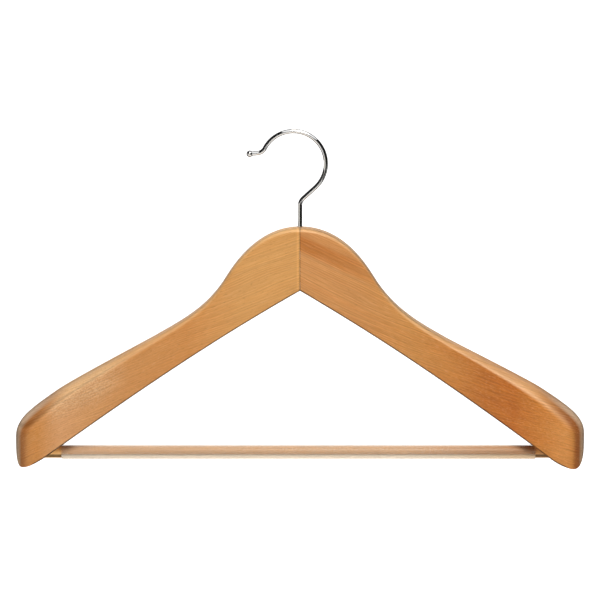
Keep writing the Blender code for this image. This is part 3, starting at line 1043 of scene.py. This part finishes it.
BAR_BEECH = {
    **PLAIN_BEECH,
    "start": -HALF_SPAN,
    "span": 2 * HALF_SPAN,
    "lean": 0.0,
    "turn": 0.0,
    "sway": 0.002,
    # The tone darkens from 0.68 to the right end of the sleeve: painted shadow of the right shoulder on the bar.
    # The bare ends are partly the bare wood and partly painted light, paler against the shade that the shoulders
    # cast over them.
    "tones": (
        (0.0, (0.980, 0.590, 0.240)),
        (0.076, (0.980, 0.590, 0.240)),
        (0.080, (0.600, 0.330, 0.130)),
        (0.20, (0.554, 0.304, 0.118)),
        (0.68, (0.554, 0.304, 0.118)),
        (0.82, (0.430, 0.185, 0.055)),
        (0.914, (0.340, 0.120, 0.025)),
        (0.918, (0.620, 0.330, 0.130)),
        (1.0, (0.620, 0.330, 0.130)),
    ),
    "band_tint": (0.95, 0.92, 0.88),
    "fleck": 0.10,
}
BARE_BEECH = {
    **BAR_BEECH,
    "tones": (
        (0.0, (0.700, 0.520, 0.320)),
        (1.0, (0.700, 0.520, 0.320)),
    ),
}


# Scales of the metals' and the vinyl's noises along X, Y and Z. Turning marks run round Z.
CHROME_PATCH_SCALES = (90.0, 90.0, 90.0)
CHROME_RIPPLE_SCALES = (700.0, 700.0, 700.0)
METAL_PATCH_SCALES = (400.0, 400.0, 400.0)
TURNING_SCALES = (300.0, 300.0, 9000.0)
HAZE_SCALES = (60.0, 900.0, 900.0)

# The vinyl's two tones, and its browner tint, painted shadow of the right shoulder, with the stretch of X over
# which it sets in. The cover is least square on, more by the edges, and more again below the bar's axis, where
# its paler haze is painted light from below.
VINYL_TONES = ((0.90, 0.80, 0.69, 1.0), (0.85, 0.74, 0.62, 1.0))
VINYL_SHADOW_TINT = (0.95, 0.82, 0.66, 1.0)
SHADOW_TINT_FROM = (0.09, 0.18)
LEAST_COVER = 0.10
EDGE_COVER = 0.80
PAINTED_UNDERLIGHT_COVER = 0.42
PAINTED_UNDERLIGHT_COVER_FROM = (0.0002, 0.0028)

# Dull metals: light tone, dark tone and least roughness
ZINC = ((0.66, 0.66, 0.67), (0.48, 0.49, 0.50), 0.28)
BRASS = ((0.78, 0.58, 0.26), (0.62, 0.44, 0.18), 0.22)


def bright_chrome():
    """Plated wire: near-mirror, with faint ripples and a few duller patches."""
    material, tree = new_tree("bright_chrome")
    spot = place(tree)
    patches = noise(tree, spot, CHROME_PATCH_SCALES)
    ripples = noise(tree, spot, CHROME_RIPPLE_SCALES)
    shade = mix(tree, rise(tree, patches, 0.35, 0.75), (0.95, 0.95, 0.95, 1.0), (0.88, 0.885, 0.89, 1.0))
    feed(
        tree,
        {
            "Base Color": shade,
            "Metallic": 1.0,
            "Roughness": calc(tree, "MULTIPLY_ADD", patches, 0.07, 0.02),
            "Normal": bump(tree, ripples, 0.000004, 0.5),
        },
    )
    return material


def dull_metal(name, light, dark, roughness):
    """Turned or stamped metal inside the neck and in the brads."""
    material, tree = new_tree(name)
    spot = place(tree)
    patches = noise(tree, spot, METAL_PATCH_SCALES, detail=3.0)
    rings = noise(tree, spot, TURNING_SCALES, detail=1.0)
    feed(
        tree,
        {
            "Base Color": mix(tree, rise(tree, patches, 0.3, 0.7), (*light, 1.0), (*dark, 1.0)),
            "Metallic": 1.0,
            "Roughness": calc(tree, "MULTIPLY_ADD", patches, 0.2, roughness),
            "Normal": bump(tree, rings, 0.00001, 0.5),
        },
    )
    return material


def clear_vinyl():
    """Soft clear tube, a little milky. It is clearer seen square on, paler below with painted light, and browner
    at the right with painted shadow.
    """
    material, tree = new_tree("clear_vinyl_tube")
    x, y, z = place(tree)
    haze = noise(tree, (x, y, z), HAZE_SCALES)
    edge = add(tree, "ShaderNodeLayerWeight", {}, {"Blend": 0.5}).outputs["Facing"]
    below = calc(tree, "SUBTRACT", BAR_Z, z)
    cover = calc(tree, "MULTIPLY_ADD", calc(tree, "POWER", edge, 2.0), EDGE_COVER, LEAST_COVER)
    # Painted light: more of the pale haze below the bar's axis.
    cover = calc(tree, "MULTIPLY_ADD", rise(tree, below, *PAINTED_UNDERLIGHT_COVER_FROM), PAINTED_UNDERLIGHT_COVER, cover)
    tint = mix(tree, haze, *VINYL_TONES)
    # Painted shadow of the right shoulder: a darker, browner tint at the right.
    tint = mix(tree, rise(tree, x, *SHADOW_TINT_FROM), tint, VINYL_SHADOW_TINT, "MULTIPLY")
    feed(
        tree,
        {
            "Base Color": tint,
            "Roughness": calc(tree, "MULTIPLY_ADD", haze, 0.10, 0.12),
            "Alpha": calc(tree, "MULTIPLY_ADD", haze, 0.08, cover),
            "Normal": bump(tree, haze, 0.00003, 0.4),
            "Specular IOR Level": 0.5,
        },
    )
    return material


def paint_node(node, material):
    """Gives a CAD node that stays visible its finish."""
    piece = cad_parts[node]
    piece.data.materials.clear()
    piece.data.materials.append(material)


# Stage, light and camera

CAMERA_DISTANCE = 2.0
CAMERA_ELEVATION = math.radians(9.0)
CAMERA_LENS = 152.1
AIM_BELOW_CENTRE = 0.0047
FLOOR_DROP = 0.35
FLOOR_HALF = 30.0
HANGER_MIDDLE = (0.0, 0.0, -0.12)
PAPER = (0.80, 0.80, 0.80)
PAPER_LIFT = 0.8
PAPER_GLOW = 0.15
MATT = {"Roughness": 0.9, "Specular IOR Level": 0.1}
WORLD_STRENGTH = 1.02
SENSOR_WIDTH = 36.0

# The world's brightness as light, like a tent's, from straight in front to straight behind
TENT = ((0.0, 0.85), (0.25, 0.95), (0.40, 1.0), (0.47, 0.14), (0.72, 0.14), (0.86, 0.45), (1.0, 0.50))

# Flags, each with its range of turn from +X up to +Z, its range away from straight in front, its distance and
# its grey level
FLAG_CENTRE = (0.0, 0.0, -0.045)
FLAG_STEPS = 9
FLAGS = (
    ("flag_right", (-14.0, 42.0), (4.0, 118.0), 1.3, 0.005),
    ("flag_low_right", (-36.0, -14.0), (4.0, 70.0), 0.95, 0.005),
    ("flag_upper_left", (112.0, 176.0), (4.0, 118.0), 1.3, 0.005),
    ("flag_left", (177.0, 206.0), (4.0, 118.0), 1.3, 0.75),
    ("flag_front", (206.0, 324.0), (4.0, 17.0), 1.3, 0.02),
    ("flag_behind", (190.0, 350.0), (82.0, 150.0), 0.45, 0.04),
)

# Softboxes, each with its centre, its size, its power in watts and whether the gloss shows it
WARM_LIGHT = (1.0, 0.93, 0.82)
SOFTBOXES = (
    ("right_softbox", (0.2, -0.85, 0.85), (0.55, 0.36), 9.6, True),
    ("crown_softbox", (-0.2, -0.45, 1.0), (1.1, 0.4), 7.0, False),
    ("floor_softbox", (0.0, -0.30, -0.58), (1.0, 0.30), 1.3, False),
    ("bar_softbox", (0.0, -0.02, -0.44), (0.46, 0.05), 0.52, False),
    ("back_softbox", (0.0, 1.3, 0.35), (1.2, 0.7), 9.0, False),
)


def plain_material(name, colour):
    """Matt card of one colour."""
    material, tree = new_tree(name)
    feed(tree, {"Base Color": (*colour, 1.0), **MATT})
    return material


def towards(across, away):
    """A way from the hanger: away from straight in front, turned by across from +X up to +Z, in degrees."""
    turn, spread = math.radians(across), math.radians(away)
    return Vector((math.sin(spread) * math.cos(turn), -math.cos(spread), math.sin(spread) * math.sin(turn)))


def make_flag(name, across, away, distance, material):
    """A curved panel round the hanger, seen only in its reflections and by the light it keeps off."""
    mesh = bmesh.new()
    rows = []
    for spread in np.linspace(*away, FLAG_STEPS):
        ways = [towards(turn, spread) for turn in np.linspace(*across, FLAG_STEPS)]
        rows.append([mesh.verts.new(Vector(FLAG_CENTRE) + distance * way) for way in ways])
    for low, high in zip(rows, rows[1:]):
        for i in range(FLAG_STEPS - 1):
            mesh.faces.new((low[i], low[i + 1], high[i + 1], high[i]))
    flag = link_mesh(name, mesh)
    flag.data.materials.append(material)
    flag.visible_camera = False


def floor_material():
    """White paper: diffuse for the light that falls on it, and burnt out to white where it is looked at."""
    material, tree = new_tree("white_paper")
    looked_at = add(tree, "ShaderNodeLightPath", {}, {}).outputs["Is Camera Ray"]
    feed(
        tree,
        {
            "Base Color": (*PAPER, 1.0),
            **MATT,
            "Emission Color": (1.0, 1.0, 1.0, 1.0),
            "Emission Strength": calc(tree, "MULTIPLY_ADD", looked_at, PAPER_LIFT, PAPER_GLOW),
        },
    )
    return material


def make_stage(low):
    """The floor under the hanger, and the flags."""
    mesh = bmesh.new()
    level = low.z - FLOOR_DROP
    corners = ((-1, -1), (1, -1), (1, 1), (-1, 1))
    mesh.faces.new([mesh.verts.new((a * FLOOR_HALF, b * FLOOR_HALF, level)) for a, b in corners])
    floor = link_mesh("floor", mesh)
    floor.data.materials.append(floor_material())
    for name, across, away, distance, grey in FLAGS:
        make_flag(name, across, away, distance, plain_material(name, (grey,) * 3))


def make_light(name, centre, size, power, mirrored):
    """A softbox that looks at the hanger."""
    data = bpy.data.lights.new(name, "AREA")
    data.shape = "RECTANGLE"
    data.size, data.size_y = size
    data.energy = power
    data.color = WARM_LIGHT
    light = bpy.data.objects.new(name, data)
    light.location = centre
    away = Vector(centre) - Vector(HANGER_MIDDLE)
    light.rotation_euler = away.to_track_quat("Z", "Y").to_euler()
    light.visible_camera = False
    light.visible_glossy = mirrored
    bpy.context.scene.collection.objects.link(light)


def make_world():
    """White where it is looked at. As light it is bright in front, dark past the sides and grey behind."""
    world = bpy.data.worlds.new("studio")
    world.use_nodes = True
    tree = world.node_tree
    coordinates = add(tree, "ShaderNodeTexCoord", {}, {})
    split = add(tree, "ShaderNodeSeparateXYZ", {}, {0: coordinates.outputs["Generated"]})
    backness = calc(tree, "MULTIPLY_ADD", split.outputs[1], 0.5, 0.5)
    tent = ramp(tree, backness, [(position, (level,) * 3) for position, level in TENT])
    looked_at = add(tree, "ShaderNodeLightPath", {}, {}).outputs["Is Camera Ray"]
    background = tree.nodes["Background"]
    tree.links.new(mix(tree, looked_at, tent, (1.0, 1.0, 1.0, 1.0)), background.inputs["Color"])
    background.inputs["Strength"].default_value = WORLD_STRENGTH
    bpy.context.scene.world = world


def make_lights():
    make_world()
    for name, centre, size, power, mirrored in SOFTBOXES:
        make_light(name, centre, size, power, mirrored)


def make_camera(low, high):
    """The photograph's view: a little above level, from straight in front."""
    data = bpy.data.cameras.new("camera")
    data.lens = CAMERA_LENS
    data.sensor_width = SENSOR_WIDTH
    camera = bpy.data.objects.new("camera", data)
    aim_z = (low.z + high.z) / 2 - AIM_BELOW_CENTRE
    back = CAMERA_DISTANCE * math.cos(CAMERA_ELEVATION)
    up = CAMERA_DISTANCE * math.sin(CAMERA_ELEVATION)
    camera.location = (0.0, -back, aim_z + up)
    camera.rotation_euler = (math.pi / 2 - CAMERA_ELEVATION, 0.0, 0.0)
    bpy.context.scene.collection.objects.link(camera)
    bpy.context.scene.camera = camera


def make_pieces():
    """Every visible piece, and the finish of the CAD nodes that stay visible."""
    left_beech = lacquered_beech("left_beech", LEFT_BEECH)
    right_beech = lacquered_beech("right_beech", RIGHT_BEECH)
    bar_beech = lacquered_beech("bar_beech", BAR_BEECH)
    bare_beech = lacquered_beech("bare_beech", BARE_BEECH)
    zinc = dull_metal("zinc_plate", *ZINC)
    brass = dull_metal("turned_brass", *BRASS)
    shared = shared_cutters()
    left_hole = link_mesh("left_brad_hole", brad_hole(-1))
    right_hole = link_mesh("right_brad_hole", brad_hole(1))
    make_shoulder("left", left_beech, [*shared, left_hole])
    make_shoulder("right", right_beech, [*shared, right_hole])
    make_hook(bright_chrome())
    make_bar(bar_beech, [left_hole, right_hole])
    make_sleeve(clear_vinyl())
    make_brad("left_brad", -1, zinc)
    make_brad("right_brad", 1, zinc)
    for cutter in [*shared, left_hole, right_hole]:
        bpy.data.objects.remove(cutter)
    paint_node("swivel_bush", brass)
    paint_node("retaining_washer", zinc)
    for node in ("upper_dowel", "lower_dowel"):
        paint_node(node, bare_beech)


bpy.context.scene.view_settings.view_transform = "Standard"
make_camera(cad_low, cad_high)
make_stage(cad_low)
make_lights()
make_pieces()
